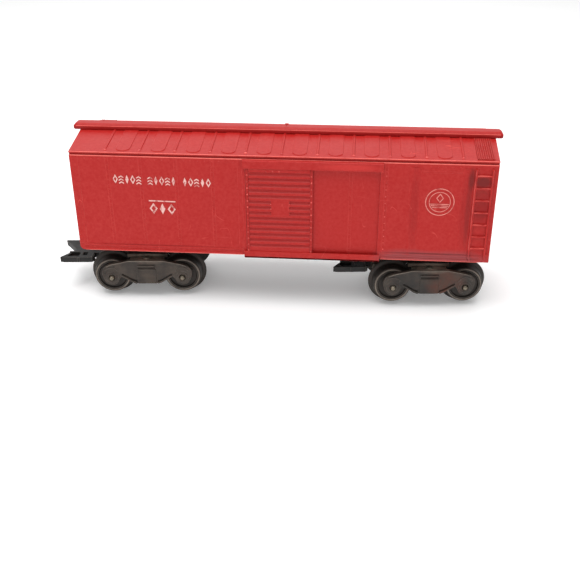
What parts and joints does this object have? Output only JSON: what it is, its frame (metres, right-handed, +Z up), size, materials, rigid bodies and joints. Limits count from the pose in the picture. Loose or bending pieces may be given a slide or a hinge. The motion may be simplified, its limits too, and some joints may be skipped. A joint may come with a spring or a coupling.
{
  "type": "model box car",
  "caption": "Model railway box car with sliding side doors, a running board, swivelling four-wheel trucks and tilting couplers.",
  "frame": {"origin": "middle of the whole car's box, couplers and running board included, on the plane that the wheel flanges stand on", "axes": "+X along the car towards the end with the ladder on the near side, +Y across the car to the far side, +Z up"},
  "size_m": [0.2186, 0.0528, 0.083],
  "materials": {
    "body_red": "moulded red plastic, dulled by handling",
    "board_red": "moulded red plastic, worn paler along its top",
    "door_red": "moulded red plastic with grime between the ridges",
    "black_paint": "satin black paint on steel",
    "truck_frame": "dusty dark brown plastic",
    "coupler_black": "dusty charcoal plastic",
    "wheel_metal": "blackened metal, rubbed bright round the rim",
    "axle_steel": "plain steel, tarnished",
    "fastener_steel": "darkened steel"
  },
  "bodies": {
    "car_body": {"body_shell": "body_red", "running_board": "board_red", "floor_plate": "black_paint", "floor_screw_left": "fastener_steel", "floor_screw_right": "fastener_steel", "king_rivet_left": "fastener_steel", "king_rivet_right": "fastener_steel"},
    "door_near": {"door_near": "door_red"},
    "door_far": {"door_far": "door_red"},
    "truck_left": {"bolster_left": "black_paint", "side_frame_left_near": "truck_frame", "side_frame_left_far": "truck_frame", "frame_rivet_left_near": "fastener_steel", "frame_rivet_left_far": "fastener_steel", "coupler_pin_left": "fastener_steel"},
    "coupler_left": {"coupler_left": "coupler_black"},
    "wheelset_left_outer": {"axle_left_outer": "axle_steel", "wheel_left_outer_near": "wheel_metal", "wheel_left_outer_far": "wheel_metal"},
    "wheelset_left_inner": {"axle_left_inner": "axle_steel", "wheel_left_inner_near": "wheel_metal", "wheel_left_inner_far": "wheel_metal"},
    "truck_right": {"bolster_right": "black_paint", "side_frame_right_near": "truck_frame", "side_frame_right_far": "truck_frame", "frame_rivet_right_near": "fastener_steel", "frame_rivet_right_far": "fastener_steel", "coupler_pin_right": "fastener_steel"},
    "coupler_right": {"coupler_right": "coupler_black"},
    "wheelset_right_outer": {"axle_right_outer": "axle_steel", "wheel_right_outer_near": "wheel_metal", "wheel_right_outer_far": "wheel_metal"},
    "wheelset_right_inner": {"axle_right_inner": "axle_steel", "wheel_right_inner_near": "wheel_metal", "wheel_right_inner_far": "wheel_metal"}
  },
  "joints": [
    {"name": "door_near_slide", "type": "slide", "parent": "car_body", "child": "door_near", "axis": [1, 0, 0], "range_m": [0, 0.03]},
    {"name": "door_far_slide", "type": "slide", "parent": "car_body", "child": "door_far", "axis": [-1, 0, 0], "range_m": [0, 0.03]},
    {"name": "truck_left_swivel", "type": "hinge", "parent": "car_body", "child": "truck_left", "pos_m": [-0.06148, 0, 0.0194], "axis": [0, 0, 1], "continuous": true},
    {"name": "coupler_left_tilt", "type": "hinge", "parent": "truck_left", "child": "coupler_left", "pos_m": [-0.08589, -0.00214, 0.0151], "axis": [-0.0872, 0.9962, 0], "range_deg": [0, 12]},
    {"name": "wheelset_left_outer_roll", "type": "hinge", "parent": "truck_left", "child": "wheelset_left_outer", "pos_m": [-0.07886, -0.00152, 0.0112], "axis": [-0.0872, 0.9962, 0], "continuous": true},
    {"name": "wheelset_left_inner_roll", "type": "hinge", "parent": "truck_left", "child": "wheelset_left_inner", "pos_m": [-0.0441, 0.00152, 0.0112], "axis": [-0.0872, 0.9962, 0], "continuous": true},
    {"name": "truck_right_swivel", "type": "hinge", "parent": "car_body", "child": "truck_right", "pos_m": [0.07682, 0, 0.0194], "axis": [0, 0, 1], "continuous": true},
    {"name": "coupler_right_tilt", "type": "hinge", "parent": "truck_right", "child": "coupler_right", "pos_m": [0.05243, -0.00231, 0.0151], "axis": [-0.0941, 0.9956, 0], "range_deg": [0, 12]},
    {"name": "wheelset_right_outer_roll", "type": "hinge", "parent": "truck_right", "child": "wheelset_right_outer", "pos_m": [0.05945, -0.00164, 0.0112], "axis": [-0.0941, 0.9956, 0], "continuous": true},
    {"name": "wheelset_right_inner_roll", "type": "hinge", "parent": "truck_right", "child": "wheelset_right_inner", "pos_m": [0.09419, 0.00164, 0.0112], "axis": [-0.0941, 0.9956, 0], "continuous": true}
  ]
}
